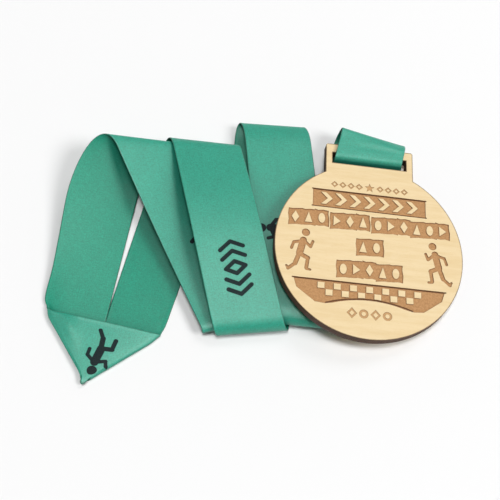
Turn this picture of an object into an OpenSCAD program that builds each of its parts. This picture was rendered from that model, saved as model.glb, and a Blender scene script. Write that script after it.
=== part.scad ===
// Wooden finisher medal on a folded ribbon, lying on a table.
// A plywood disc hangs by a slotted tab from one closed loop of woven ribbon.
// Units are millimetres, +Z is up, the table is z = 0.

/* [Medal] */

// Diameter of the plywood disc
disc_diameter = 70; // [50:1:90]
// Thickness of the two outer plies
outer_ply = 0.9; // [0.6:0.1:1.5]
// Thickness of the core ply
core_ply = 1.8; // [1:0.1:3]
// Width of the tab above the disc
tab_width = 33.5; // [30:0.5:45]
// Height of the tab's end above the disc centre
tab_end = 43; // [40:0.5:50]
// Width of the slot for the ribbon
slot_width = 28.5; // [26:0.5:40]
// Lower edge of the slot above the disc centre
slot_low = 34.9; // [33:0.1:38]
// Upper edge of the slot above the disc centre
slot_high = 39.4; // [36:0.1:46]
// Radius of the tab's outer corners
tab_corner = 0.8; // [0.3:0.1:3]

/* [Engraving] */

// Depth of the lightly burnt areas
light_depth = 0.15; // [0.1:0.05:0.4]
// Depth of the brown areas
brown_depth = 0.3; // [0.2:0.05:0.6]
// Depth of the scored lines
score_depth = 0.55; // [0.3:0.05:0.8]
// Width of the scored lines
score_width = 0.5; // [0.3:0.05:1]

/* [Ribbon] */

// Width of the ribbon
ribbon_width = 25; // [25:1:25]
// Thickness of the ribbon's solids
ribbon_thickness = 0.5; // [0.3:0.05:0.6]

/* [Seam] */

// Stitches in one row of the closing seam
stitches_per_row = 9; // [5:1:15]
// Length of one stitch
stitch_length = 1.7; // [1:0.1:3]
// Thread diameter
thread_diameter = 0.3; // [0.2:0.05:0.5]

/* [Hidden] */

wood = [0.85, 0.70, 0.48];
wood_core = [0.45, 0.30, 0.18];
ribbon_green = [0.24, 0.60, 0.47];
thread_green = [0.20, 0.52, 0.42];

// Moves everything so that the origin is under the middle of the whole object.
origin_shift = [-1.8, -0.62, 0];

// Place of the medal: centre of its front face, then pitch, roll and yaw in degrees.
face_centre = [43.4, -4.17, 9.1];
face_angles = [-1.23, 8.78, -2.89];

medal_thickness = 2 * outer_ply + core_ply;
disc_radius = disc_diameter / 2;
eps = 0.01;

// The ribbon is one strip of cloth: stretches joined by folds, in the order the cloth runs.
// A stretch: [start xy, end xy, [z at start, middle, end], [tilt at start, end], side]
// Tilt is how much higher edge B is than edge A. Side is +1 when B is right of the heading.
STRETCHES = [
  [[32.2, 0.4], [37, 14], [2.1, 2.1, 2.1], [0, 0], 1], // lap_end
  [[39.8, 20.6], [43.4, 29.9], [3.25, 3.4, 3.75], [-2.4, -3.8], 1], // slot_rise
  [[45.05, 34.2], [46.9, 41.4], [9.68, 9.5, 9.2], [-3.9, -3.6], 1], // bar_strap
  [[44.2, 40.6], [22.4, -27], [0.6, 0.8, 1], [0, 0], -1], // outer_tail
  [[16.4, -25.5], [10.9, 41.5], [7.3, 7.4, 6.9], [-0.9, -1], 1], // top_run_d
  [[6.5, 44.9], [1.85, -27.7], [1.8, 0.55, 0.35], [0, 0], -1], // under_run_d
  [[-1.6, -28], [-16, 38.4], [8.4, 10.4, 8.9], [0.8, -0.8], 1], // top_run_c
  [[-22.6, 37.2], [-44.1, -42.2], [0.25, 0.25, 0.25], [0, 0], -1], // leg_right
  [[-44.2, -42.2], [-65.7, -37.6], [1.8, 1.95, 2.25], [0, 0], 1], // neck_band
  [[-65.7, -37.1], [-55.85, 18.3], [1.15, 2.4, 4.2], [0, 5.7], -1], // leg_left
  [[-36.4, 37.4], [-5.3, -28.8], [10.2, 4.5, 5], [9.1, 0], 1], // top_run_b
  [[-4.6, -28.2], [-1, 24], [1.9, 1.4, 1.9], [0, 0], -1], // under_run_b
  [[1.2, 24], [24, -12.5], [3, 2.8, 2.8], [0, 0], 1], // hidden_run
  [[26.6, -12.6], [37.4, 17], [1.65, 1.5, 1.4], [0, 0], -1], // inner_tail
];
// How far edge A and edge B of each fold bulge out from the two stretches it joins.
BULGES = [
  [3, 3], // lap_bend
  [3.4, 3.4], // slot_bend
  [4.6, 5.2], // bar_loop
  [7.6, 7], // low_fold_d
  [12, 9.4], // high_fold_d
  [8.6, 8.6], // low_fold_c
  [9.2, 5.4], // high_fold_c
  [1, 1], // neck_crease_right
  [1, 1.7], // neck_crease_left
  [12.2, 15.7], // tall_loop
  [4.5, 4.5], // low_fold_b
  [1.6, 1.6], // high_fold_hidden
  [2, 2], // low_fold_hidden
];

// Creases whose direction is set instead of halving the turn: the slot's and the neck's.
slot_crease = [cos(-2.89), sin(-2.89)];
neck_right_crease = [cos(32.9), sin(32.9)];
neck_left_crease = [cos(120.3), sin(120.3)];
// Share of the width kept where the cloth tucks in at the neck's creases.
neck_tip_share = 0.82;
neck_right_share = 0.81;
neck_left_share = 0.87;

stretch_steps = 10;
fold_steps = 20;
seam_gap = 0.04; // between neighbouring solids of the one cloth

function unit(v) = v / norm(v);
function mix(a, b, u) = a * (1 - u) + b * u;
function last_index(list) = len(list) - 1;

function heading(k) = unit(STRETCHES[k][1] - STRETCHES[k][0]);
function across(k) = let(h = heading(k)) [h[1], -h[0]] * STRETCHES[k][4];

// Direction of the crease at the start of stretch k (or after the last one).
function crease(k) =
  k == 0 ? across(0) :
  k == len(STRETCHES) ? across(k - 1) :
  k == 2 ? slot_crease :
  k == 8 ? neck_right_crease :
  k == 9 ? neck_left_crease :
  unit(across(k - 1) + across(k));

// Share of the width at joint j. Edge A of both neck creases is the band's tip.
function share(j, sign) =
  j != 8 && j != 9 ? 1 :
  sign < 0 ? neck_tip_share :
  j == 8 ? neck_right_share : neck_left_share;

// Half of the crease line at joint j as seen from stretch k: sign -1 is edge A's half, +1 edge B's.
function half_crease(k, j, sign) =
  crease(j) * ribbon_width / 2 / abs(crease(j) * across(k)) * share(j, sign);

// Parabola through three heights at u = 0, 0.5 and 1.
function sag(z, u) = z[0] * (2 * u - 1) * (u - 1) + z[1] * 4 * u * (1 - u) + z[2] * u * (2 * u - 1);

// One point of an edge: sign -1 is edge A, +1 is edge B.
function edge_point(k, sign, u) =
  let(
    s = STRETCHES[k],
    start = s[0] + sign * half_crease(k, k, sign),
    end = s[1] + sign * half_crease(k, k + 1, sign),
    plan = mix(start, end, u),
    tilt = mix(s[3][0], s[3][1], u)
  )
  [plan[0], plan[1], sag(s[2], u) + sign * tilt / 2];

function edge_tangent(k, sign, u0, u1) =
  unit(edge_point(k, sign, u1) - edge_point(k, sign, u0));

// Edge of a stretch, cut short by half the gap at both ends.
function stretch_edge(k, sign) =
  let(length = norm(STRETCHES[k][1] - STRETCHES[k][0]), cut = seam_gap / length)
  [for (i = [0:stretch_steps]) edge_point(k, sign, cut + (1 - 2 * cut) * i / stretch_steps)];

function bezier(p, u) =
  pow(1 - u, 3) * p[0] + 3 * u * pow(1 - u, 2) * p[1] + 3 * u * u * (1 - u) * p[2] + pow(u, 3) * p[3];

// Edge of the fold between stretch k and stretch k + 1.
function fold_edge(k, sign) =
  let(
    reach = BULGES[k][sign < 0 ? 0 : 1],
    from = edge_point(k, sign, 1),
    to = edge_point(k + 1, sign, 0),
    out = edge_tangent(k, sign, 0.96, 1),
    back = edge_tangent(k + 1, sign, 0, 0.04),
    handles = [from, from + out * reach, to - back * reach, to]
  )
  [for (i = [0:fold_steps]) bezier(handles, i / fold_steps)];

// Normal of the cloth at step i of two edges.
function cloth_normal(a, b, i) =
  let(
    before = max(i - 1, 0),
    after = min(i + 1, last_index(a)),
    along = (a[after] + b[after]) - (a[before] + b[before])
  )
  unit(cross(along, b[i] - a[i]));

function cloth_ring(a, b, i) =
  let(lift = cloth_normal(a, b, i) * ribbon_thickness / 2)
  [a[i] + lift, b[i] + lift, b[i] - lift, a[i] - lift];

// Closed thin solid between two edges.
module cloth(a, b) {
  n = len(a);
  points = [for (i = [0:n - 1]) each cloth_ring(a, b, i)];
  walls = [
    for (i = [0:n - 2])
      for (s = [0:3])
        let(p = 4 * i + s, q = 4 * i + (s + 1) % 4)
        each [[p, q, q + 4], [p, q + 4, p + 4]]
  ];
  last = 4 * (n - 1);
  caps = [[2, 1, 0], [3, 2, 0], [last, last + 1, last + 2], [last, last + 2, last + 3]];
  polyhedron(points = points, faces = concat(walls, caps));
}

module stretch(k) color(ribbon_green) cloth(stretch_edge(k, -1), stretch_edge(k, 1));

module fold(k) color(ribbon_green) cloth(fold_edge(k, -1), fold_edge(k, 1));

// Sewn end, printed side up, lying on inner_tail.
module lap_end() stretch(0);
// Eases the sewn end up from the flat.
module lap_bend() fold(0);
// Climbs under the disc towards the slot.
module slot_rise() stretch(1);
// S-bend up through the tab's slot.
module slot_bend() fold(1);
// Crosses the front of the tab's bar.
module bar_strap() stretch(2);
// Turns back over the end of the tab.
module bar_loop() fold(2);
// Runs back under the medal.
module outer_tail() stretch(3);
// Bottom turn beside the medal.
module low_fold_d() fold(3);
// Seen stretch next to the medal.
module top_run_d() stretch(4);
// Top turn beside the medal, open loop.
module high_fold_d() fold(4);
// Hidden under top_run_d.
module under_run_d() stretch(5);
// Bottom turn in the middle.
module low_fold_c() fold(5);
// Seen stretch in the middle.
module top_run_c() stretch(6);
// Top turn in the middle.
module high_fold_c() fold(6);
// Flat on the table, plain side up.
module leg_right() stretch(7);
// Right-hand corner of the neck band.
module neck_crease_right() fold(7);
// Turned corner that lies at the neck when worn.
module neck_band() stretch(8);
// Left-hand corner of the neck band.
module neck_crease_left() fold(8);
// Rises to the tall loop, plain side up.
module leg_left() stretch(9);
// Tall open loop at the far left.
module tall_loop() fold(9);
// Seen slanted stretch.
module top_run_b() stretch(10);
// Bottom turn of the slanted stretch.
module low_fold_b() fold(10);
// Hidden under the middle stretch.
module under_run_b() stretch(11);
// Hidden top turn.
module high_fold_hidden() fold(11);
// Hidden, crosses to the medal.
module hidden_run() stretch(12);
// Hidden bottom turn under the disc.
module low_fold_hidden() fold(12);
// Other sewn end, plain side up.
module inner_tail() stretch(13);

// Stitches of the closing seam: two rows across the sewn end, just above the cloth.
seam_rows = [3, 9];
seam_side_margin = 2.2;

module stitch_row(from_start) {
  along = heading(0);
  right = across(0);
  centre = STRETCHES[0][0] + along * from_start;
  run = ribbon_width - 2 * seam_side_margin;
  top = STRETCHES[0][2][0] + ribbon_thickness / 2 + 0.02;
  for (i = [0:stitches_per_row - 1]) {
    place = centre + right * (i / (stitches_per_row - 1) - 0.5) * (run - stitch_length);
    translate([place[0], place[1], top + thread_diameter / 4])
      rotate([0, 0, atan2(right[1], right[0])])
        cube([stitch_length, thread_diameter, thread_diameter / 2], center = true);
  }
}

// Sewing thread of the closing seam.
module seam_thread() color(thread_green)
  for (from_start = seam_rows) stitch_row(from_start);

// ---- medal ----

module in_medal_place() translate(face_centre) rotate(face_angles) children();

module tab_body(low, high) {
  half = tab_width / 2;
  translate([-half, 20, low]) cube([tab_width, tab_end - tab_corner - 20, high - low]);
  translate([-half + tab_corner, 20, low]) cube([tab_width - 2 * tab_corner, tab_end - 20, high - low]);
  for (side = [-1, 1])
    translate([side * (half - tab_corner), tab_end - tab_corner, low])
      cylinder(h = high - low, r = tab_corner, $fn = 24);
}

// One ply of the medal between two heights below the face.
module ply(low, high) {
  difference() {
    union() {
      translate([0, 0, low]) cylinder(h = high - low, r = disc_radius, $fn = 180);
      tab_body(low, high);
    }
    translate([-slot_width / 2, slot_low, low - 1])
      cube([slot_width, slot_high - slot_low, high - low + 2]);
  }
}

module sunk(depth) translate([0, 0, -depth]) linear_extrude(depth + 1) children();

// Shapes of the engraving, in the plane of the face.

module star(radius) {
  polygon([
    for (i = [0:9])
      let(r = i % 2 == 0 ? radius : radius * 0.45, a = 90 + 36 * i)
      [r * cos(a), r * sin(a)]
  ]);
}

module chevron(size, thick) {
  polygon([
    [-size / 2, size], [-size / 2 + thick, size], [size / 2 + thick, 0],
    [-size / 2 + thick, -size], [-size / 2, -size], [size / 2, 0]
  ]);
}

module diamond(width, height)
  polygon([[-width / 2, 0], [0, height / 2], [width / 2, 0], [0, -height / 2]]);

// A ragged card, like a scrap of torn paper. Lean gives each card its own outline.
module card(width, height, lean) {
  w = width / 2;
  h = height / 2;
  polygon([
    [-w, -h + 0.3 * lean], [-w * 0.4, -h], [w * 0.3, -h + 0.25], [w, -h - 0.2 * lean],
    [w + 0.2, -h * 0.2], [w - 0.15, h * 0.5], [w, h - 0.3 * lean], [w * 0.2, h],
    [-w * 0.5, h - 0.25], [-w, h + 0.2 * lean], [-w - 0.2, h * 0.3], [-w + 0.15, -h * 0.4]
  ]);
}

// Raised sign left standing on a card: diamond, triangle, oval or pennant by turns.
module card_sign(kind, width, height) {
  w = width / 2;
  h = height / 2;
  if (kind % 4 == 0) diamond(width * 1.1, height);
  if (kind % 4 == 1) polygon([[-w * 1.1, -h * 0.85], [w * 1.1, -h * 0.85], [0, h * 0.95]]);
  if (kind % 4 == 2) scale([w, h * 0.85]) circle(r = 1, $fn = 24);
  if (kind % 4 == 3) polygon([[-w, h * 0.85], [w * 1.1, 0], [-w, -h * 0.85]]);
}

// A row of overlapping cards with their signs left at face height.
// A gap follows the cards named in gaps_after.
module card_row(count, pitch, height, first, gaps_after = []) {
  for (i = [0:count - 1]) {
    lean = i % 3 - 1;
    before = len([for (g = gaps_after) if (g < i) 1]);
    slide = 0.75 * (before - len(gaps_after) / 2);
    translate([(i - (count - 1) / 2) * pitch + slide, 0.25 * lean])
      rotate(1.2 * lean)
        difference() {
          card(pitch + 0.3, height, lean);
          card_sign(i + first, 2.5, 4.7);
        }
  }
}

top_marks = [0, 25.6];
upper_bar = [0, 19.3];
long_cards = [0, 10.6];
pair_of_cards = [0.1, 1];
middle_cards = [0, -8.5];
year_marks = [0, -25.5];

module top_mark_shapes() translate(top_marks) {
  star(1.9);
  for (side = [-1, 1])
    for (i = [1:4])
      translate([side * (0.9 + 3.1 * i), 0]) difference() {
        diamond(2.8, 2.7);
        diamond(1.3, 1.2);
      }
}

module upper_bar_area() translate(upper_bar) square([42.8, 7.2], center = true);

module upper_bar_signs() translate(upper_bar)
  for (i = [-3:3]) translate([5.4 * i - 0.9, 0]) chevron(2.5, 1.9);

module long_card_shapes() translate(long_cards) card_row(12, 4.9, 6.8, 0, [2, 5]);
module pair_card_shapes() translate(pair_of_cards) card_row(2, 5, 7, 1);
module middle_card_shapes() translate(middle_cards) card_row(5, 4.85, 7, 2);

// Lower banner: slanted ends, lower edge arched upwards.
module banner_outline() {
  polygon(concat(
    [[-27.8, -13.8], [27.8, -13.8], [26.6, -17.6], [19.8, -22.6], [16.2, -22.9]],
    [for (i = [0:12]) let(x = 13.5 - 27 * i / 12) [x, -20.2 - 2.2 * pow(x / 13.5, 2)]],
    [[-16.2, -22.9], [-19.8, -22.6], [-26.6, -17.6]]
  ));
}

// Two rows of checks, the common sign of a finish line.
module banner_checks()
  for (i = [0:12])
    translate([(i - 6) * 2.95 - 1.25, i % 2 == 0 ? -17.15 : -19.75]) square([2.5, 2.3]);

module banner_shapes() difference() {
  banner_outline();
  banner_checks();
}

// Deeper groove along the arched lower edge of the banner.
banner_groove_half = 16;
module banner_shadow() {
  half = banner_groove_half;
  polygon(concat(
    [for (i = [0:12]) let(x = half - 2 * half * i / 12) [x, -19.4 - 2.2 * pow(x / 13.5, 2) * 0.9]],
    [for (i = [0:12]) let(x = -half + 2 * half * i / 12) [x, -20.0 - 2.2 * pow(x / 13.5, 2) * 0.9]]
  ));
}

module year_mark_shapes() translate(year_marks)
  for (i = [0:3]) translate([(i - 1.5) * 4.3, 0]) difference() {
    if (i % 2 == 0) diamond(3.8, 4.2); else circle(d = 3.4, $fn = 24);
    if (i % 2 == 0) diamond(1.9, 2.1); else circle(d = 1.6, $fn = 16);
  }

// A limb with round ends, as one outline.
module limb(from, to, thick) {
  turn = atan2(to[1] - from[1], to[0] - from[0]);
  polygon(concat(
    [for (a = [90:30:270]) from + thick / 2 * [cos(turn + a), sin(turn + a)]],
    [for (a = [-90:30:90]) to + thick / 2 * [cos(turn + a), sin(turn + a)]]
  ));
}

// Plain pictogram of a runner about 18 mm tall, facing +X.
module runner() {
  translate([1.75, 7.8]) circle(d = 3, $fn = 24);
  limb([0.9, 4.6], [-0.4, -0.8], 2.6);
  limb([1.2, 4.4], [3.6, 2.2], 1.2);
  limb([3.6, 2.2], [4.4, 4.4], 1.1);
  limb([0.4, 4.2], [-2.6, 3.4], 1.2);
  limb([-2.6, 3.4], [-3.4, 1], 1.1);
  limb([-0.2, -1], [2.7, -2.4], 1.7);
  limb([2.7, -2.4], [2.2, -6.4], 1.4);
  limb([2.2, -6.8], [3.6, -6.9], 0.9);
  limb([-0.6, -1.2], [-1.9, -5], 1.7);
  limb([-1.9, -5], [-4.4, -7.2], 1.3);
  limb([-4.4, -7.4], [-5, -6.2], 0.9);
}

module score_line(y, half) translate([-half, y]) square([2 * half, score_width]);

module score_lines() {
  score_line(upper_bar[1] + 3.3, 21.8);
  score_line(upper_bar[1] - 3.8, 21.8);
  score_line(-14.2, 28.3);
}

module engraving() {
  sunk(light_depth) {
    top_mark_shapes();
    year_mark_shapes();
  }
  sunk(brown_depth) {
    difference() {
      upper_bar_area();
      upper_bar_signs();
    }
    long_card_shapes();
    pair_card_shapes();
    middle_card_shapes();
    banner_shapes();
    translate([-25.4, -3.6]) runner();
    translate([25.4, -3.6]) mirror([1, 0]) runner();
  }
  sunk(score_depth) {
    score_lines();
    banner_shadow();
  }
}

// Face ply with all of the laser engraving.
module medal_front_ply() color(wood) in_medal_place() difference() {
  ply(-outer_ply, 0);
  engraving();
}

// Core ply, its grain crossed to the two outer plies.
module medal_core_ply() color(wood_core) in_medal_place()
  ply(-outer_ply - core_ply, -outer_ply);

// Back ply, plain.
module medal_back_ply() color(wood) in_medal_place()
  ply(-medal_thickness, -medal_thickness + outer_ply);

translate(origin_shift) {
  medal_front_ply();
  medal_core_ply();
  medal_back_ply();
  lap_end();
  lap_bend();
  slot_rise();
  slot_bend();
  bar_strap();
  bar_loop();
  outer_tail();
  low_fold_d();
  top_run_d();
  high_fold_d();
  under_run_d();
  low_fold_c();
  top_run_c();
  high_fold_c();
  leg_right();
  neck_crease_right();
  neck_band();
  neck_crease_left();
  leg_left();
  tall_loop();
  top_run_b();
  low_fold_b();
  under_run_b();
  high_fold_hidden();
  hidden_run();
  low_fold_hidden();
  inner_tail();
  seam_thread();
}
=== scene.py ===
"""Looks of a wooden finisher medal lying on its folded ribbon."""
import math

import bpy
import numpy as np
from mathutils import Matrix, Vector


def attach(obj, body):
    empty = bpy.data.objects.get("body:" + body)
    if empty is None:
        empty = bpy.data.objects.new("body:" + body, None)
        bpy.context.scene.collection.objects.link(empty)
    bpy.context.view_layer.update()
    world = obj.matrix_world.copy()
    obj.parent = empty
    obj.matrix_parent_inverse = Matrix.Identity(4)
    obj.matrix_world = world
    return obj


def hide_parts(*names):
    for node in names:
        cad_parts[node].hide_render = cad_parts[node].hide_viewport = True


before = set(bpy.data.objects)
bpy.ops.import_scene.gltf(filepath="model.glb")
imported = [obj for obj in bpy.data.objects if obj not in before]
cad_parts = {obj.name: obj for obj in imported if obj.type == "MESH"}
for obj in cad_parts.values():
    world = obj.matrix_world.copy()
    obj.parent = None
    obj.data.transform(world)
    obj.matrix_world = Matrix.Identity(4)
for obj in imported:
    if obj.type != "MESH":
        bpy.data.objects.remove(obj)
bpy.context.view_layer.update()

MM = 0.001

# ---------------------------------------------------------------- layout, as in the CAD source

ORIGIN_SHIFT = np.array([-1.8, -0.62, 0.0])  # mm

FACE_CENTRE = np.array([43.4, -4.17, 9.1]) + ORIGIN_SHIFT
FACE_ANGLES = (-1.23, 8.78, -2.89)  # pitch, roll, yaw in degrees

# Outline of the medal in the plane of its face, mm from the disc's centre.
DISC_RADIUS = 35.0
TAB_WIDTH = 33.5
TAB_ROOT = 20.0
TAB_END = 43.0
SLOT_WIDTH = 28.5
SLOT_LOW = 34.9
SLOT_HIGH = 39.4


def plan_direction(degrees):
    """Direction in plan, as an angle from the x axis."""
    angle = math.radians(degrees)
    return np.array([math.cos(angle), math.sin(angle)])


RIBBON_WIDTH = 25.0
SLOT_CREASE = plan_direction(FACE_ANGLES[2])
NECK_RIGHT_CREASE = plan_direction(32.9)
NECK_LEFT_CREASE = plan_direction(120.3)
NECK_TIP_SHARE = 0.82
NECK_RIGHT_SHARE = 0.81
NECK_LEFT_SHARE = 0.87

# The ribbon is one strip: flat stretches joined by folds, in the order in which the cloth runs.
# name, start xy, end xy, z at start, middle and end, tilt at start and end, side
STRETCHES = [
    ("lap_end", (32.2, 0.4), (37.0, 14.0), (2.1, 2.1, 2.1), (0.0, 0.0), 1),
    ("slot_rise", (39.8, 20.6), (43.4, 29.9), (3.25, 3.4, 3.75), (-2.4, -3.8), 1),
    ("bar_strap", (45.05, 34.2), (46.9, 41.4), (9.68, 9.5, 9.2), (-3.9, -3.6), 1),
    ("outer_tail", (44.2, 40.6), (22.4, -27.0), (0.6, 0.8, 1.0), (0.0, 0.0), -1),
    ("top_run_d", (16.4, -25.5), (10.9, 41.5), (7.3, 7.4, 6.9), (-0.9, -1.0), 1),
    ("under_run_d", (6.5, 44.9), (1.85, -27.7), (1.8, 0.55, 0.35), (0.0, 0.0), -1),
    ("top_run_c", (-1.6, -28.0), (-16.0, 38.4), (8.4, 10.4, 8.9), (0.8, -0.8), 1),
    ("leg_right", (-22.6, 37.2), (-44.1, -42.2), (0.25, 0.25, 0.25), (0.0, 0.0), -1),
    ("neck_band", (-44.2, -42.2), (-65.7, -37.6), (1.8, 1.95, 2.25), (0.0, 0.0), 1),
    ("leg_left", (-65.7, -37.1), (-55.85, 18.3), (1.15, 2.4, 4.2), (0.0, 5.7), -1),
    ("top_run_b", (-36.4, 37.4), (-5.3, -28.8), (10.2, 4.5, 5.0), (9.1, 0.0), 1),
    ("under_run_b", (-4.6, -28.2), (-1.0, 24.0), (1.9, 1.4, 1.9), (0.0, 0.0), -1),
    ("hidden_run", (1.2, 24.0), (24.0, -12.5), (3.0, 2.8, 2.8), (0.0, 0.0), 1),
    ("inner_tail", (26.6, -12.6), (37.4, 17.0), (1.65, 1.5, 1.4), (0.0, 0.0), -1),
]
# name, how far edge A and edge B bulge out from the two stretches that the fold joins
FOLDS = [
    ("lap_bend", 3.0, 3.0),
    ("slot_bend", 3.4, 3.4),
    ("bar_loop", 4.6, 5.2),
    ("low_fold_d", 7.6, 7.0),
    ("high_fold_d", 12.0, 9.4),
    ("low_fold_c", 8.6, 8.6),
    ("high_fold_c", 9.2, 5.4),
    ("neck_crease_right", 1.0, 1.0),
    ("neck_crease_left", 1.0, 1.7),
    ("tall_loop", 12.2, 15.7),
    ("low_fold_b", 4.5, 4.5),
    ("high_fold_hidden", 1.6, 1.6),
    ("low_fold_hidden", 2.0, 2.0),
]

# ---------------------------------------------------------------- ribbon geometry

HALF_CLOTH = 0.16  # half the cloth's thickness, mm
SELVEDGE = 0.9  # width of the firmer woven edge, mm
INNER_COLUMNS = 22  # columns of the mesh between the two woven edges
INNER_MARGIN = 1.9  # distance of the first of them from the cloth's edge, mm
ROW_STEP = 0.6  # distance between rows of the mesh along the ribbon, mm
FEWEST_ROWS = 8  # in one stretch or fold
LEG_CLOSING = [(7, 0.7), (9, 1.2)]  # stretch and how far its inner edge moves, mm
LEG_CLOSING_SPAN = (-46, -29, 22)  # y where the move begins, is whole and ends, mm
TIP_ROUNDING = 2.6  # how far the neck band's tip bulges, mm
TIP_SINK = 0.08  # how much the tip goes down for each mm that it bulges
CORNER_RISE = 0.9  # height of the soft crease near the neck's left corner, mm
CORNER_PLACE = (0.84, 0.72)  # the crease's middle, as shares along and across the neck band
CORNER_SPREAD = (0.11, 0.2)  # its size, as shares along and across
BAND_LIFT = 1.3  # how far the neck band's upper edge stands up, mm
TOP_ARCH = 1.7  # extra height of the uppermost run at its middle, mm
STRAP_RIDGE = 0.2  # height of the soft ridges on the strap, mm


def unit(v):
    v = np.asarray(v, float)
    return v / np.linalg.norm(v)


def heading(k):
    return unit(np.subtract(STRETCHES[k][2], STRETCHES[k][1]))


def across(k):
    h = heading(k)
    return np.array([h[1], -h[0]]) * STRETCHES[k][5]


def crease(k):
    """Direction of the crease at the start of stretch k, or after the last one."""
    fixed = {2: SLOT_CREASE, 8: NECK_RIGHT_CREASE, 9: NECK_LEFT_CREASE}
    if k == 0:
        return across(0)
    if k == len(STRETCHES):
        return across(k - 1)
    if k in fixed:
        return fixed[k]
    return unit(across(k - 1) + across(k))


def share(joint, sign):
    """Share of the width kept at a joint. Edge A of both neck creases is the band's tip."""
    if joint not in (8, 9):
        return 1.0
    if sign < 0:
        return NECK_TIP_SHARE
    return NECK_RIGHT_SHARE if joint == 8 else NECK_LEFT_SHARE


def half_crease(k, joint, sign):
    """Half of the crease line at a joint, as seen from stretch k."""
    c = crease(joint)
    return c * RIBBON_WIDTH / 2 / abs(c @ across(k)) * share(joint, sign)


def edge_points(k, sign, u):
    """Points of one edge of stretch k at the shares u of its length."""
    _, start, end, z, tilt, _ = STRETCHES[k]
    u = np.asarray(u, float)[:, None]
    a = np.array(start) + sign * half_crease(k, k, sign)
    b = np.array(end) + sign * half_crease(k, k + 1, sign)
    plan = a * (1 - u) + b * u
    sag = z[0] * (2 * u - 1) * (u - 1) + z[1] * 4 * u * (1 - u) + z[2] * u * (2 * u - 1)
    lean = tilt[0] * (1 - u) + tilt[1] * u
    return np.hstack([plan, sag + sign * lean / 2])


def fold_points(k, sign, u):
    """Points of one edge of the fold between stretch k and stretch k + 1."""
    reach = FOLDS[k][1 if sign < 0 else 2]
    last = edge_points(k, sign, [0.96, 1.0])
    first = edge_points(k + 1, sign, [0.0, 0.04])
    p0, p3 = last[1], first[0]
    p1 = p0 + unit(last[1] - last[0]) * reach
    p2 = p3 - unit(first[1] - first[0]) * reach
    u = np.asarray(u, float)[:, None]
    return (1 - u) ** 3 * p0 + 3 * u * (1 - u) ** 2 * p1 + 3 * u * u * (1 - u) * p2 + u**3 * p3


def path_length(points):
    return np.linalg.norm(np.diff(points, axis=0), axis=1).sum()


def ribbon_edges():
    """Both edges of the whole ribbon, row by row, and where each named part starts."""
    rows = {-1: [], 1: []}
    starts = {}
    count = 0
    for k in range(len(STRETCHES)):
        parts = [(STRETCHES[k][0], edge_points)]
        if k < len(FOLDS):
            parts.append((FOLDS[k][0], fold_points))
        for name, points in parts:
            fine = np.linspace(0, 1, 60)
            length = max(path_length(points(k, sign, fine)) for sign in (-1, 1))
            steps = max(FEWEST_ROWS, int(math.ceil(length / ROW_STEP)))
            u = np.linspace(0, 1, steps + 1)[:-1]
            starts[name] = count
            count += steps
            for sign in (-1, 1):
                rows[sign].append(points(k, sign, u))
    for sign in (-1, 1):
        rows[sign].append(edge_points(len(STRETCHES) - 1, sign, [1.0]))
    return np.vstack(rows[-1]), np.vstack(rows[1]), starts


def column_places():
    """Places across the cloth as shares from edge A, with the half thickness there."""
    # Distance from the edge in mm, and the thickness there as a share of the plain cloth's.
    rim = [(0.0, 0.25), (0.06, 0.75), (0.2, 1.2), (0.5, 1.3), (SELVEDGE, 1.15), (1.2, 1.0)]
    inner = np.linspace(INNER_MARGIN, RIBBON_WIDTH - INNER_MARGIN, INNER_COLUMNS)
    left = [(d / RIBBON_WIDTH, h) for d, h in rim]
    right = [(1 - p, h) for p, h in reversed(left)]
    middle = [(d / RIBBON_WIDTH, 1.0) for d in inner]
    places = left + middle + right
    return np.array([p for p, _ in places]), np.array([h for _, h in places]) * HALF_CLOTH


def cloth_run(grid, starts):
    """Distance along the cloth of every grid point, in mm, measured square to its width."""
    run = np.zeros(grid.shape[:2])
    middle = grid.shape[1] // 2
    distance = 0.0
    for k, (name, start, end, *_) in enumerate(STRETCHES):
        first = starts[name]
        last = starts[FOLDS[k][0]] if k < len(FOLDS) else len(grid) - 1
        run[first:last + 1] = distance + (grid[first:last + 1, :, :2] - start) @ heading(k)
        distance += math.dist(start, end)
        if k < len(FOLDS):
            next_first = starts[STRETCHES[k + 1][0]]
            steps = np.linalg.norm(np.diff(grid[last:next_first + 1, middle], axis=0), axis=1)
            share_done = np.concatenate([[0.0], np.cumsum(steps)]) / steps.sum()
            distance += steps.sum()
            next_run = distance + (grid[next_first, :, :2] - STRETCHES[k + 1][1]) @ heading(k + 1)
            run[last:next_first + 1] = run[last] + share_done[:, None] * (next_run - run[last])
    return run, distance


def soften_neck(grid, starts):
    """Round the tucked tip of the neck band and raise the cloth near its left corner."""
    first, last = starts["neck_band"], starts["neck_crease_left"]
    rows = last - first + 1
    columns = grid.shape[1]
    u = np.linspace(0, 1, rows)[:, None]
    w = np.linspace(0, 1, columns)[None, :]
    outward = np.append(-across(8), 0.0)
    tip = TIP_ROUNDING * np.sin(math.pi * u) ** 0.6 * (1 - w) ** 5
    grid[first:last + 1] += tip[:, :, None] * (outward - np.array([0, 0, TIP_SINK]))
    near_u = np.exp(-(((u - CORNER_PLACE[0]) / CORNER_SPREAD[0]) ** 2))
    near_w = np.exp(-(((w - CORNER_PLACE[1]) / CORNER_SPREAD[1]) ** 2))
    rise = CORNER_RISE * near_u * near_w + BAND_LIFT * w
    rise *= np.sin(math.pi * u) ** 0.5
    grid[first:last + 1, :, 2] += rise


def close_gap(grid, starts):
    """Let the inner edges of the two legs meet where they pass under the neck band."""
    w = np.linspace(0, 1, grid.shape[1])[None, :]
    for k, shift in LEG_CLOSING:
        legs = grid[starts[STRETCHES[k][0]]:starts[FOLDS[k][0]] + 1]
        reach = shift * np.interp(legs[..., 1], LEG_CLOSING_SPAN, (0, 1, 0)) * (1 - w)
        legs[..., :2] -= reach[..., None] * across(k)


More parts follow.
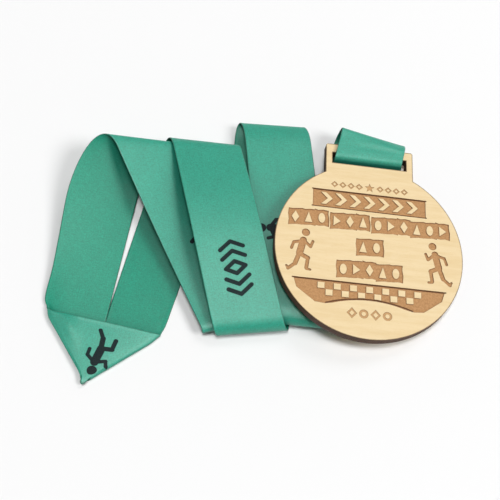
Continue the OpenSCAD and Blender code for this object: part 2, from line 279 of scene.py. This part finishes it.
def nudge(grid, centre, move, radius):
    """Move all cloth near a place in plan, on every layer, fading out with distance."""
    near = np.exp(-np.sum((grid[..., :2] - centre) ** 2, axis=2) / radius**2)
    grid[..., :2] += near[..., None] * np.asarray(move)


def round_neck_corners(grid, starts):
    """Soften the folded neck's three points. Each nudge has its place, move and radius in mm."""
    left = grid[(starts["neck_crease_left"] + starts["leg_left"]) // 2, -1, :2].copy()
    right = grid[(starts["neck_crease_right"] + starts["neck_band"]) // 2, -1, :2].copy()
    tip = grid[(starts["neck_band"] + starts["neck_crease_left"]) // 2, 0, :2].copy()
    nudge(grid, left + (0.3, 6.0), (-0.7, 0.0), 7.0)
    nudge(grid, left, (1.2, 0.7), 2.4)
    nudge(grid, right, (-0.6, 0.4), 3.0)
    nudge(grid, tip + (-1.2, 0.6), (-1.0, -0.5), 2.2)


def arch_top_run(grid, starts):
    """Bow the uppermost run a little, so that its sheen changes from one end to the other."""
    first, last = starts["top_run_c"], starts["high_fold_c"]
    u = np.linspace(0, 1, last - first + 1)[:, None]
    grid[first:last + 1, :, 2] += TOP_ARCH * np.sin(math.pi * u) ** 1.3


def crease_strap(grid, starts):
    """Soft ridges along the strap that crosses the bar: two waves that run aslant."""
    first, last = starts["bar_strap"], starts["outer_tail"]
    u = np.linspace(0, 1, last - first + 1)[:, None]
    w = np.linspace(0, 1, grid.shape[1])[None, :]
    wide = np.sin(2 * math.pi * (u * 2.6 + 0.5 * w))
    narrow = np.sin(2 * math.pi * (u * 4.3 - 0.9 * w + 0.3))
    wave = wide + 0.6 * narrow
    grid[first:last + 1, :, 2] += STRAP_RIDGE * wave * np.sin(math.pi * u) * (0.4 + 0.6 * w)


def ribbon_sheet():
    """The ribbon's middle surface: points, unit normals and cloth coordinates, in mm."""
    edge_a, edge_b, starts = ribbon_edges()
    place, half = column_places()
    grid = edge_a[:, None] * (1 - place)[None, :, None] + edge_b[:, None] * place[None, :, None]
    run, length = cloth_run(grid, starts)
    close_gap(grid, starts)
    soften_neck(grid, starts)
    round_neck_corners(grid, starts)
    arch_top_run(grid, starts)
    crease_strap(grid, starts)
    along = np.gradient(grid, axis=0)
    over = (edge_b - edge_a)[:, None] + 0 * grid
    normal = np.cross(along, over)
    normal /= np.linalg.norm(normal, axis=2, keepdims=True)
    side = (place - 0.5)[None, :] * RIBBON_WIDTH + 0 * run
    return grid, normal, half, run, side, length


def mesh_object(name, vertices, faces, smooth=True):
    mesh = bpy.data.meshes.new(name)
    mesh.from_pydata([tuple(v) for v in vertices], [], [tuple(f) for f in faces])
    mesh.update()
    if smooth:
        mesh.polygons.foreach_set("use_smooth", [True] * len(mesh.polygons))
    obj = bpy.data.objects.new(name, mesh)
    bpy.context.scene.collection.objects.link(obj)
    return obj


def cloth_faces(rows, columns):
    """Corners of each face as (layer, row, column), and 1 for each face of the plain side.

    Layer 0 is the plain side of the cloth and layer 1 the printed side.
    """
    faces, is_plain = [], []
    last_row, last_column = rows - 1, columns - 1
    for i in range(last_row):
        for j in range(last_column):
            around = [(i, j), (i, j + 1), (i + 1, j + 1), (i + 1, j)]
            faces.append([(0, *around[n]) for n in (0, 3, 2, 1)])
            faces.append([(1, *spot) for spot in around])
            is_plain += [1.0, 0.0]
    for i in range(last_row):
        faces.append([(0, i, 0), (1, i, 0), (1, i + 1, 0), (0, i + 1, 0)])
        faces.append([(n, i + m, last_column) for n, m in ((0, 0), (0, 1), (1, 1), (1, 0))])
    for j in range(last_column):
        faces.append([(0, 0, j), (0, 0, j + 1), (1, 0, j + 1), (1, 0, j)])
    for j in range(last_column):
        faces.append([(n, last_row, j + m) for n, m in ((0, 1), (0, 0), (1, 0), (1, 1))])
    is_plain += [0.0] * (len(faces) - len(is_plain))
    return np.array(faces), np.array(is_plain, np.float32)


def make_ribbon():
    """One closed strip of cloth with a printed and a plain side, and its length in metres."""
    grid, normal, half, run, side, length = ribbon_sheet()
    rows, columns = grid.shape[:2]
    lift = normal * half[None, :, None]
    points = np.concatenate([(grid + lift).reshape(-1, 3), (grid - lift).reshape(-1, 3)])
    corners, is_plain = cloth_faces(rows, columns)
    layer, row, column = np.moveaxis(corners, -1, 0)
    faces = (layer * rows + row) * columns + column
    ribbon = mesh_object("ribbon", (points + ORIGIN_SHIFT) * MM, faces.tolist())

    cloth = np.stack([run[row, column], side[row, column]], axis=-1) * MM
    layer_uv = ribbon.data.uv_layers.new(name="cloth")
    layer_uv.data.foreach_set("uv", cloth.astype(np.float32).ravel())
    mark = ribbon.data.attributes.new("plain_side", "FLOAT", "FACE")
    mark.data.foreach_set("value", is_plain)
    return ribbon, length * MM


# ---------------------------------------------------------------- shader helpers


class Shader:
    """Adds and links nodes of one material."""

    def __init__(self, name):
        self.material = bpy.data.materials.new(name)
        self.material.use_nodes = True
        self.tree = self.material.node_tree
        self.principled = next(n for n in self.tree.nodes if n.type == "BSDF_PRINCIPLED")

    def add(self, kind, inputs=None, **settings):
        node = self.tree.nodes.new(kind)
        for key, value in settings.items():
            setattr(node, key, value)
        for socket, value in (inputs or {}).items():
            self.put(node.inputs[socket], value)
        return node

    def put(self, socket, value):
        if isinstance(value, bpy.types.NodeSocket):
            self.tree.links.new(value, socket)
        elif isinstance(value, bpy.types.Node):
            self.tree.links.new(value.outputs[0], socket)
        else:
            socket.default_value = value

    def math(self, operation, a, b=0.0, c=0.0):
        node = self.add("ShaderNodeMath", operation=operation)
        for socket, value in zip(node.inputs, (a, b, c)):
            self.put(socket, value)
        return node.outputs[0]

    def vector(self, operation, a, b=(0, 0, 0)):
        node = self.add("ShaderNodeVectorMath", operation=operation)
        self.put(node.inputs[0], a)
        self.put(node.inputs[1], b)
        return node.outputs["Value"] if operation in ("DOT_PRODUCT", "LENGTH") else node.outputs[0]

    def smooth(self, value, low, high):
        """0 below low, 1 above high, smooth between."""
        inputs = {"Value": value, "From Min": low, "From Max": high}
        return self.add("ShaderNodeMapRange", inputs, interpolation_type="SMOOTHSTEP").outputs[0]

    def remap(self, value, low, high, to_low, to_high):
        """Straight map of low..high onto to_low..to_high, held at the ends."""
        inputs = {
            "Value": value,
            "From Min": low,
            "From Max": high,
            "To Min": to_low,
            "To Max": to_high,
        }
        return self.add("ShaderNodeMapRange", inputs).outputs[0]

    def spread(self, noise, to_low, to_high):
        """Map noise, which lies mostly from 0.3 to 0.7, onto to_low..to_high."""
        return self.remap(noise, 0.3, 0.7, to_low, to_high)

    def ripple(self, place, pitch):
        """A sine wave of one pitch."""
        return self.math("SINE", self.math("MULTIPLY", place, 2 * math.pi / pitch))

    def mix(self, factor, a, b, blend="MIX"):
        # Sockets 0, 6 and 7 are the factor and the two colours, and output 2 is the colour.
        node = self.add("ShaderNodeMix", {0: factor, 6: a, 7: b}, data_type="RGBA", blend_type=blend)
        return node.outputs[2]

    def combine(self, x, y, z=0.0):
        node = self.add("ShaderNodeCombineXYZ")
        for socket, value in zip(node.inputs, (x, y, z)):
            self.put(socket, value)
        return node.outputs[0]

    def noise(self, vector, scale, detail=2.0, roughness=0.5):
        inputs = {"Vector": vector, "Scale": scale, "Detail": detail, "Roughness": roughness}
        return self.add("ShaderNodeTexNoise", inputs).outputs[0]

    def bump(self, height, distance, strength):
        inputs = {"Height": height, "Distance": distance, "Strength": strength}
        return self.add("ShaderNodeBump", inputs).outputs[0]


def colour(red, green, blue):
    """Linear colour from the 0 to 255 values seen on a screen."""
    def linear(c):
        c = c / 255
        return c / 12.92 if c <= 0.04045 else ((c + 0.055) / 1.055) ** 2.4
    return (linear(red), linear(green), linear(blue), 1.0)


# ---------------------------------------------------------------- ribbon material

RIB_PITCH = 0.34 * MM  # crosswise ribs of the satin weave
WARP_PITCH = 0.22 * MM  # threads that run along the ribbon
PAINTED_SHADE_REACH = 22 * MM  # how close cloth above has to be for the painted shade to darken the colour
INK_RADIUS = 0.75  # half the width of a printed stroke, mm

# Printed marks, in mm: x along the ribbon, y across it. Two chevrons on each side of a diamond.
PACE_CHEVRONS = [(-8.7, -1), (-5.0, -1), (5.0, 1), (8.7, 1)]  # middle, and which way it points
PACE_CHEVRON_SIZE = (1.3, 4.2)  # half its size along the ribbon and across it
PACE_DIAMOND = (2.3, 3.6)  # likewise
PACE_PLACE = 338.4  # distance from the sewn end
# A plain pictogram of a runner, in mm: x from feet to head, y backwards. Start, end, half width.
RUNNER_STROKES = [
    ((-1.2, 0.3), (4.9, -0.5), 1.5),  # trunk
    ((4.7, -0.8), (2.6, -3.7), 0.7),  # front arm, above and below the elbow
    ((2.6, -3.7), (4.7, -4.9), 0.65),
    ((4.7, 0.4), (3.6, 3.2), 0.7),  # rear arm
    ((3.6, 3.2), (1.0, 3.8), 0.65),
    ((-1.4, 0.0), (-2.9, -3.1), 0.95),  # front leg, above and below the knee
    ((-2.9, -3.1), (-7.0, -2.4), 0.8),
    ((-1.5, 0.6), (-5.4, 2.0), 0.95),  # rear leg
    ((-5.4, 2.0), (-8.0, 4.6), 0.75),
]
RUNNER_HEAD = (8.1, -1.4, 1.75)  # x, y and radius
RUNNER_LEAN = 18.0  # how far the whole figure is turned on the ribbon, degrees
# Where the runners stand: distance from the sewn end and offset across the ribbon, in mm.
RUNNER_PLACES = [(177.0, -1.5), (499.8, -0.6), (645.2, -7.2)]


def stroke_distance(s, place, start, end, radius):
    """Signed distance from place to a stroke with round ends, in metres."""
    a = Vector((start[0] * MM, start[1] * MM, 0))
    b = Vector((end[0] * MM, end[1] * MM, 0))
    run = b - a
    from_a = s.vector("SUBTRACT", place, a)
    share_of_run = s.math("DIVIDE", s.vector("DOT_PRODUCT", from_a, run), run.length_squared)
    clamped = s.math("MINIMUM", s.math("MAXIMUM", share_of_run, 0.0), 1.0)
    foot = s.add("ShaderNodeVectorMath", operation="SCALE")
    foot.inputs[0].default_value = run
    s.put(foot.inputs["Scale"], clamped)
    gap = s.vector("SUBTRACT", from_a, foot.outputs[0])
    return s.math("SUBTRACT", s.vector("LENGTH", gap), radius * MM)


def disc_distance(s, place, x, y, radius):
    """Signed distance from place to a disc, in metres."""
    gap = s.vector("SUBTRACT", place, (x * MM, y * MM, 0))
    return s.math("SUBTRACT", s.vector("LENGTH", gap), radius * MM)


def nearest(s, distances):
    """Least of several distances."""
    result = distances[0]
    for d in distances[1:]:
        result = s.math("MINIMUM", result, d)
    return result


def pace_strokes():
    """The strokes of the chevrons and of the diamond."""
    half, tall = PACE_CHEVRON_SIZE
    strokes = []
    for middle, way in PACE_CHEVRONS:
        point = (middle + half * way, 0.0)
        strokes += [((middle - half * way, y), point) for y in (-tall, tall)]
    wide, tall = PACE_DIAMOND
    corners = [(-wide, 0.0), (0.0, tall), (wide, 0.0), (0.0, -tall)]
    return strokes + list(zip(corners, corners[1:] + corners[:1]))


def leaned(x, y):
    """A point of the runner after the figure is turned."""
    a = math.radians(RUNNER_LEAN)
    return (x * math.cos(a) - y * math.sin(a), x * math.sin(a) + y * math.cos(a))


def ink_mask(s, along, side):
    """1 where the ribbon is printed, 0 elsewhere."""
    centre, offset = (value * MM for value in RUNNER_PLACES[0])
    for before, after in zip(RUNNER_PLACES, RUNNER_PLACES[1:]):
        passed = s.math("GREATER_THAN", along, (before[0] + after[0]) / 2 * MM)
        centre = s.math("MULTIPLY_ADD", passed, (after[0] - before[0]) * MM, centre)
        offset = s.math("MULTIPLY_ADD", passed, (after[1] - before[1]) * MM, offset)
    runner_spot = s.combine(s.math("SUBTRACT", offset, side), s.math("SUBTRACT", along, centre))
    shapes = []
    for start, end, radius in RUNNER_STROKES:
        shapes.append(stroke_distance(s, runner_spot, leaned(*start), leaned(*end), radius))
    shapes.append(disc_distance(s, runner_spot, *leaned(*RUNNER_HEAD[:2]), RUNNER_HEAD[2]))
    pace_spot = s.combine(s.math("SUBTRACT", along, PACE_PLACE * MM), side)
    shapes += [stroke_distance(s, pace_spot, a, b, INK_RADIUS) for a, b in pace_strokes()]
    distance = nearest(s, shapes)
    return s.math("SUBTRACT", 1.0, s.smooth(distance, -0.05 * MM, 0.12 * MM))


def cloth_colour(s, cloth, along, side, plain, speck):
    """Green satin with uneven threads, painted shade in its folds and under other layers, and darker
    along its edges.
    """
    printed_green = colour(28, 147, 122)
    plain_green = colour(25, 141, 114)
    base = s.mix(plain, printed_green, plain_green)

    # Weft lines across, warp lines along, slow patches of dye and a fine grain.
    weft = s.noise(s.combine(s.math("MULTIPLY", along, 1.5), s.math("MULTIPLY", side, 0.3)), 1500, 2)
    warp = s.noise(s.combine(s.math("MULTIPLY", along, 0.2), s.math("MULTIPLY", side, 1.4)), 1500, 2)
    patch = s.noise(cloth, 90, 3, 0.6)
    shade = s.math("ADD", s.spread(weft, -0.1, 0.1), s.spread(warp, -0.06, 0.06))
    shade = s.math("ADD", shade, s.spread(patch, -0.05, 0.05))
    shade = s.math("ADD", shade, s.spread(speck, -0.22, 0.22))
    tone = s.math("ADD", shade, 1.0)
    base = s.mix(1.0, base, s.combine(tone, tone, tone), "MULTIPLY")

    # Painted shade: cloth tucked close under another layer is darkened by ambient occlusion.
    painted_shade = s.add("ShaderNodeAmbientOcclusion", {"Distance": PAINTED_SHADE_REACH}, samples=6).outputs["AO"]
    base = s.mix(s.remap(painted_shade, 0.5, 1.0, 0.6, 0.0), base, colour(4, 84, 68))

    # The firm woven edge is a shade darker.
    from_middle = s.math("ABSOLUTE", side)
    rim = s.smooth(from_middle, (RIBBON_WIDTH / 2 - 0.35) * MM, (RIBBON_WIDTH / 2 - 0.05) * MM)
    return s.mix(s.math("MULTIPLY", rim, 0.7), base, colour(52, 92, 76))


def satin_gloss(s, along, side, plain, speck, ink):
    """Stretched highlights, duller on the plain side and on the ink, over a fine relief."""
    ribs = s.ripple(along, RIB_PITCH)
    threads = s.ripple(side, WARP_PITCH)
    weave = s.math("ADD", s.math("MULTIPLY", ribs, 0.5), s.math("MULTIPLY", threads, 0.25))
    weave = s.math("ADD", weave, s.math("MULTIPLY", speck, 1.2))
    s.put(s.principled.inputs["Normal"], s.bump(weave, 0.022 * MM, 0.8))
    s.put(s.principled.inputs["Roughness"], s.math("ADD", 0.34, s.math("MULTIPLY", speck, 0.12)))
    tangent = s.add("ShaderNodeTangent", direction_type="UV_MAP", uv_map="cloth")
    s.put(s.principled.inputs["Tangent"], tangent)
    s.principled.inputs["Anisotropic"].default_value = 0.5
    gloss = s.remap(plain, 0.0, 1.0, 1.0, 0.55)
    gloss = s.math("MULTIPLY", gloss, s.remap(ink, 0.0, 1.0, 1.0, 0.12))
    s.put(s.principled.inputs["Specular IOR Level"], gloss)
    s.principled.inputs["Specular Tint"].default_value = (0.78, 1.0, 0.92, 1.0)
    s.principled.inputs["Sheen Weight"].default_value = 0.05
    s.principled.inputs["Sheen Roughness"].default_value = 0.4
    s.principled.inputs["Sheen Tint"].default_value = (0.5, 0.95, 0.85, 1.0)


def ribbon_material():
    s = Shader("ribbon_satin")
    cloth = s.add("ShaderNodeUVMap", uv_map="cloth").outputs[0]
    parts = s.add("ShaderNodeSeparateXYZ", {0: cloth})
    along, side = parts.outputs[0], parts.outputs[1]
    plain = s.add("ShaderNodeAttribute", attribute_name="plain_side").outputs["Fac"]
    speck = s.noise(cloth, 1900, 2, 0.7)
    base = cloth_colour(s, cloth, along, side, plain, speck)

    printed = s.math("SUBTRACT", 1.0, plain)
    ink = s.math("MULTIPLY", ink_mask(s, along, side), printed)
    ink_tone = s.mix(s.spread(speck, 0, 1), colour(14, 12, 20), colour(30, 26, 36))
    base = s.mix(s.math("MULTIPLY", ink, 0.97), base, ink_tone)
    s.put(s.principled.inputs["Base Color"], base)
    satin_gloss(s, along, side, plain, speck, ink)
    return s.material


def thread_material():
    s = Shader("seam_thread")
    spot = s.add("ShaderNodeTexCoord").outputs["Object"]
    twist = s.noise(spot, 4200, 2)
    s.put(s.principled.inputs["Base Color"], s.mix(twist, colour(52, 140, 116), colour(92, 186, 160)))
    s.put(s.principled.inputs["Normal"], s.bump(twist, 0.03 * MM, 0.6))
    s.principled.inputs["Roughness"].default_value = 0.5
    return s.material


# ---------------------------------------------------------------- seam

# In mm, apart from the counts and the share.
SEAM_ROWS = (3.0, 9.0)  # distances of the two rows from the sewn end
SEAM_MARGIN = 2.2  # from the ribbon's edges to the seam's ends
STITCHES = 9  # in one row
STITCH_SHARE = 0.84  # of the pitch from one stitch to the next
STITCH_ARCH = 0.16  # how far a stitch bows up
STITCH_SINK = 0.06  # how far its ends dip into the cloth
THREAD_RADIUS = 0.13
THREAD_SIDES = 8
STITCH_STEPS = 8


def thread_ring(spot, along, height):
    """Points round the thread at one place of a stitch."""
    ring = []
    for b in range(THREAD_SIDES):
        turn = 2 * math.pi * b / THREAD_SIDES
        x, y = spot + along * math.cos(turn) * THREAD_RADIUS
        ring.append((x, y, height + math.sin(turn) * THREAD_RADIUS))
    return ring


def stitch_faces(first):
    """Faces of one closed stitch whose points start at number first."""
    sides, steps = THREAD_SIDES, STITCH_STEPS
    faces = []
    for a in range(steps):
        for b in range(sides):
            p = first + a * sides + b
            q = first + a * sides + (b + 1) % sides
            faces.append((p, q, q + sides, p + sides))
    faces.append(tuple(first + b for b in reversed(range(sides))))
    faces.append(tuple(first + steps * sides + b for b in range(sides)))
    return faces


def make_seam():
    """Two rows of round stitches over the sewn end, each dipping into the cloth."""
    along, right = heading(0), across(0)
    start = np.array(STRETCHES[0][1])
    top = STRETCHES[0][3][0] + HALF_CLOTH
    run = RIBBON_WIDTH - 2 * SEAM_MARGIN
    pitch = run / STITCHES
    points, faces = [], []
    for from_start in SEAM_ROWS:
        for i in range(STITCHES):
            middle = start + along * from_start + right * ((i + 0.5) * pitch - run / 2)
            faces += stitch_faces(len(points))
            for a in range(STITCH_STEPS + 1):
                u = a / STITCH_STEPS
                height = top + STITCH_ARCH * math.sin(math.pi * u) - STITCH_SINK
                points += thread_ring(middle + right * (u - 0.5) * pitch * STITCH_SHARE, along, height)
    points = (np.array(points) + ORIGIN_SHIFT) * MM
    return mesh_object("seam_stitches", points, faces)


# ---------------------------------------------------------------- plywood

SCAN_PITCH = 0.21 * MM  # distance between the laser's lines
LIGHT_FLOOR = (0.06, 0.12)  # depth in mm at which each burn takes over from the one before
BROWN_FLOOR = (0.18, 0.26)
DARK_FLOOR = (0.38, 0.50)
OUTLINE_DEPTH = 0.4  # walls this close to the rim belong to the disc's outline, mm
TAB_WALLS = 30.5  # y above which every wall belongs to the tab or its slot, mm


def face_axes():
    """The medal's x, y and height axes."""
    pitch, roll, yaw = (math.radians(a) for a in FACE_ANGLES)
    turn = Matrix.Rotation(yaw, 3, "Z") @ Matrix.Rotation(roll, 3, "Y") @ Matrix.Rotation(pitch, 3, "X")
    return turn.col[0].copy(), turn.col[1].copy(), turn.col[2].copy()


def face_coordinates(s):
    """Place in the plane of the medal's face, in metres: x, y and height over the face."""
    spot = s.add("ShaderNodeTexCoord").outputs["Object"]
    local = s.vector("SUBTRACT", spot, tuple(FACE_CENTRE * MM))
    return [s.vector("DOT_PRODUCT", local, tuple(axis)) for axis in face_axes()]


def wall_share(s):
    """1 on cut walls, 0 on the faces of a ply."""
    normal = s.add("ShaderNodeTexCoord").outputs["Normal"]
    up = s.math("ABSOLUTE", s.vector("DOT_PRODUCT", normal, tuple(face_axes()[2])))
    return s.math("SUBTRACT", 1.0, s.smooth(up, 0.5, 0.8))


def streaks(s, x, y, squeeze, scale, detail, roughness):
    """Noise drawn out along x."""
    return s.noise(s.combine(s.math("MULTIPLY", x, squeeze), y), scale, detail, roughness)


def wood_grain(s, x, y):
    """Pale fine-grained veneer: long soft streaks, short pores and a little figure."""
    slow = streaks(s, x, y, 0.10, 420, 4, 0.55)
    fine = streaks(s, x, y, 0.07, 2600, 3, 0.6)
    pores = streaks(s, x, y, 0.16, 5200, 2, 0.5)
    mottle = s.noise(s.combine(x, y), 160, 3, 0.6)
    base = s.mix(s.smooth(slow, 0.35, 0.68), colour(228, 205, 162), colour(222, 197, 151))
    base = s.mix(s.math("MULTIPLY", s.smooth(fine, 0.45, 0.75), 0.22), base, colour(216, 184, 132))
    base = s.mix(s.math("MULTIPLY", s.smooth(pores, 0.60, 0.72), 0.22), base, colour(196, 158, 108))
    return s.mix(s.math("MULTIPLY", s.smooth(mottle, 0.5, 0.75), 0.25), base, colour(231, 210, 171))


def wood_fibre(s, x, y):
    """Height of the fine fibres that run along x."""
    return streaks(s, x, y, 0.07, 3800, 3, 0.6)


def from_centre(s, x, y):
    """Distance in mm from the disc's centre."""
    return s.math("DIVIDE", s.vector("LENGTH", s.combine(x, y)), MM)


def burnt_edge(s, x, y, height):
    """Dark laser-cut wall with soot lines running through the thickness."""
    lines = s.noise(s.combine(x, y, s.math("MULTIPLY", height, 0.12)), 2400, 2)
    return s.mix(lines, colour(44, 24, 14), colour(92, 60, 38))


def box_distance(s, x, y, low, high, width):
    """Distance in mm from a box between two heights in y, centred on x = 0, negative inside."""
    beside = s.math("ABSOLUTE", s.math("DIVIDE", x, MM))
    above = s.math("ABSOLUTE", s.math("SUBTRACT", s.math("DIVIDE", y, MM), (low + high) / 2))
    past_side = s.math("SUBTRACT", beside, width / 2)
    return s.math("MAXIMUM", past_side, s.math("SUBTRACT", above, (high - low) / 2))


def scorched_outline(s, x, y, char):
    """1 close to the medal's outline and around its slot, where the laser browned the face."""
    disc = s.math("SUBTRACT", from_centre(s, x, y), DISC_RADIUS)
    outline = s.math("MINIMUM", disc, box_distance(s, x, y, TAB_ROOT, TAB_END, TAB_WIDTH))
    slot = s.math("MULTIPLY", box_distance(s, x, y, SLOT_LOW, SLOT_HIGH, SLOT_WIDTH), -1.0)
    nearest_edge = s.math("MAXIMUM", outline, slot)
    reach = s.spread(char, -0.34, -0.22)
    return s.smooth(s.math("SUBTRACT", nearest_edge, reach), -0.12, 0.22)


def engraved_colour(s, base, depth, scan, char):
    """Engraved floors: the deeper the laser went, the browner, with fine scan lines."""
    tint = s.math("ADD", s.math("MULTIPLY", scan, 0.10), s.spread(char, -0.45, 0.45))
    light_burn = s.mix(s.math("ADD", tint, 0.5), colour(186, 142, 94), colour(206, 166, 116))
    brown_burn = s.mix(s.math("ADD", tint, 0.5), colour(160, 114, 70), colour(198, 152, 102))
    dark_burn = s.mix(s.math("ADD", tint, 0.5), colour(84, 54, 34), colour(122, 82, 52))
    base = s.mix(s.smooth(depth, *LIGHT_FLOOR), base, light_burn)
    base = s.mix(s.smooth(depth, *BROWN_FLOOR), base, brown_burn)
    base = s.mix(s.smooth(depth, *DARK_FLOOR), base, dark_burn)
    # Soot gathers where an engraved floor meets its walls.
    corner = s.add("ShaderNodeAmbientOcclusion", {"Distance": 0.8 * MM}, samples=6, only_local=True)
    soot = s.math("MULTIPLY", s.smooth(corner.outputs["AO"], 0.95, 0.45), s.smooth(depth, *LIGHT_FLOOR))
    return s.mix(s.math("MULTIPLY", soot, 0.85), base, colour(98, 62, 36))


def face_wall_colour(s, x, y, height, char):
    """Walls of the engraving in brown, and the cut outline and slot in dark soot."""
    past_rim = s.math("GREATER_THAN", from_centre(s, x, y), DISC_RADIUS - OUTLINE_DEPTH)
    on_tab = s.math("GREATER_THAN", y, TAB_WALLS * MM)
    pocket_wall = s.mix(char, colour(120, 80, 50), colour(160, 116, 76))
    return s.mix(s.math("MAXIMUM", past_rim, on_tab), pocket_wall, burnt_edge(s, x, y, height))


def face_ply_material():
    s = Shader("engraved_veneer")
    x, y, height = face_coordinates(s)
    depth = s.math("MULTIPLY", height, -1.0 / MM)
    scan = s.ripple(y, SCAN_PITCH)
    char = s.noise(s.combine(x, y), 1300, 5, 0.7)
    base = engraved_colour(s, wood_grain(s, x, y), depth, scan, char)
    scorch = s.math("MULTIPLY", scorched_outline(s, x, y, char), 0.85)
    base = s.mix(scorch, base, colour(84, 52, 30))
    base = s.mix(wall_share(s), base, face_wall_colour(s, x, y, height, char))
    s.put(s.principled.inputs["Base Color"], base)

    fibre = wood_fibre(s, x, y)
    burnt = s.math("ADD", char, s.math("MULTIPLY", scan, 0.3))
    rough_floor = s.math("MULTIPLY", s.smooth(depth, 0.06, 0.2), burnt)
    relief = s.math("ADD", s.math("MULTIPLY", fibre, 0.4), rough_floor)
    s.put(s.principled.inputs["Normal"], s.bump(relief, 0.05 * MM, 0.55))
    s.principled.inputs["Roughness"].default_value = 0.62
    s.principled.inputs["Specular IOR Level"].default_value = 0.3
    return s.material


def core_ply_material():
    s = Shader("core_veneer")
    x, y, height = face_coordinates(s)
    wood = s.mix(0.5, wood_grain(s, y, x), colour(200, 160, 110))
    s.put(s.principled.inputs["Base Color"], s.mix(wall_share(s), wood, burnt_edge(s, x, y, height)))
    s.principled.inputs["Roughness"].default_value = 0.75
    return s.material


def back_ply_material():
    s = Shader("back_veneer")
    x, y, height = face_coordinates(s)
    wood = wood_grain(s, x, y)
    patches = s.spread(s.noise(s.combine(x, y), 300, 3), 0.1, 0.7)
    near_rim = s.smooth(from_centre(s, x, y), DISC_RADIUS - 1.6, DISC_RADIUS)
    smoke = s.math("MULTIPLY", near_rim, patches)
    wood = s.mix(smoke, wood, colour(170, 124, 80))
    s.put(s.principled.inputs["Base Color"], s.mix(wall_share(s), wood, burnt_edge(s, x, y, height)))
    s.put(s.principled.inputs["Normal"], s.bump(wood_fibre(s, x, y), 0.04 * MM, 0.4))
    s.principled.inputs["Roughness"].default_value = 0.66
    return s.material


def dress_node(name, material):
    """Give a CAD node its material."""
    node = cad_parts[name]
    node.data.materials.clear()
    node.data.materials.append(material)


# ---------------------------------------------------------------- camera, light and floor

CAMERA_ELEVATION = 65.0  # degrees above the table
CAMERA_DISTANCE = 0.409  # m
CAMERA_LENS = 79.2  # mm
SKY_HORIZON = 0.95  # brightness of the studio at the horizon
SKY_TOP = 0.08  # its brightness overhead
SKY_HEIGHT = 0.4  # how high that begins, as z of a direction of length 1
# name, place and diameter in metres, power in watts
LIGHTS = [
    ("overhead", (0.0, -0.4, 5.8), 1.8, 189.0),
    ("side", (3.8, -1.4, 4.2), 2.4, 170.0),
    ("rear", (2.4, 3.0, 4.8), 2.4, 58.0),
]
FLOOR_HALF = 1.3  # half the floor's side, m
FLOOR_SHADE = 0.86


def aim(obj, target):
    obj.rotation_euler = (Vector(target) - obj.location).to_track_quat("-Z", "Y").to_euler()


def make_camera():
    camera = bpy.data.objects.new("camera", bpy.data.cameras.new("camera"))
    target = Vector(tuple(ORIGIN_SHIFT * MM))
    e = math.radians(CAMERA_ELEVATION)
    camera.location = target + Vector((0, -math.cos(e), math.sin(e))) * CAMERA_DISTANCE
    camera.data.lens = CAMERA_LENS
    camera.data.sensor_width = 36.0
    camera.data.clip_start = 0.01
    aim(camera, target)
    bpy.context.scene.collection.objects.link(camera)
    bpy.context.scene.camera = camera


def make_light(name, location, size, power):
    data = bpy.data.lights.new(name, "AREA")
    data.shape = "DISK"
    data.size = size
    data.energy = power
    light = bpy.data.objects.new(name, data)
    light.location = location
    aim(light, (0, 0, 0))
    bpy.context.scene.collection.objects.link(light)


def make_sky():
    """A world that is bright near the horizon and dim overhead."""
    world = bpy.data.worlds.new("studio")
    world.use_nodes = True
    tree = world.node_tree
    direction = tree.nodes.new("ShaderNodeTexCoord").outputs["Generated"]
    parts = tree.nodes.new("ShaderNodeSeparateXYZ")
    tree.links.new(direction, parts.inputs[0])
    sky = tree.nodes.new("ShaderNodeMapRange")
    sky.inputs["From Max"].default_value = SKY_HEIGHT
    sky.inputs["To Min"].default_value = SKY_HORIZON
    sky.inputs["To Max"].default_value = SKY_TOP
    tree.links.new(parts.outputs[2], sky.inputs["Value"])
    background = tree.nodes["Background"]
    background.inputs[0].default_value = (1.0, 1.0, 1.0, 1.0)
    tree.links.new(sky.outputs[0], background.inputs[1])
    bpy.context.scene.world = world


def make_floor():
    h = FLOOR_HALF
    corners = [(-h, -h, 0), (h, -h, 0), (h, h, 0), (-h, h, 0)]
    floor = mesh_object("floor", corners, [(0, 1, 2, 3)], smooth=False)
    s = Shader("pale_floor")
    s.principled.inputs["Base Color"].default_value = (FLOOR_SHADE, FLOOR_SHADE, FLOOR_SHADE, 1.0)
    s.principled.inputs["Roughness"].default_value = 0.9
    s.principled.inputs["Specular IOR Level"].default_value = 0.1
    floor.data.materials.append(s.material)


def make_studio():
    make_sky()
    for light in LIGHTS:
        make_light(*light)
    make_floor()
    bpy.context.scene.view_settings.view_transform = "Standard"


# ---------------------------------------------------------------- build

def main():
    make_camera()
    make_studio()

    ribbon, length = make_ribbon()
    ribbon.data.materials.append(ribbon_material())
    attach(ribbon, "ribbon")
    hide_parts(*[s[0] for s in STRETCHES], *[f[0] for f in FOLDS])

    seam = make_seam()
    seam.data.materials.append(thread_material())
    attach(seam, "ribbon")
    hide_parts("seam_thread")

    dress_node("medal_front_ply", face_ply_material())
    dress_node("medal_core_ply", core_ply_material())
    dress_node("medal_back_ply", back_ply_material())


main()
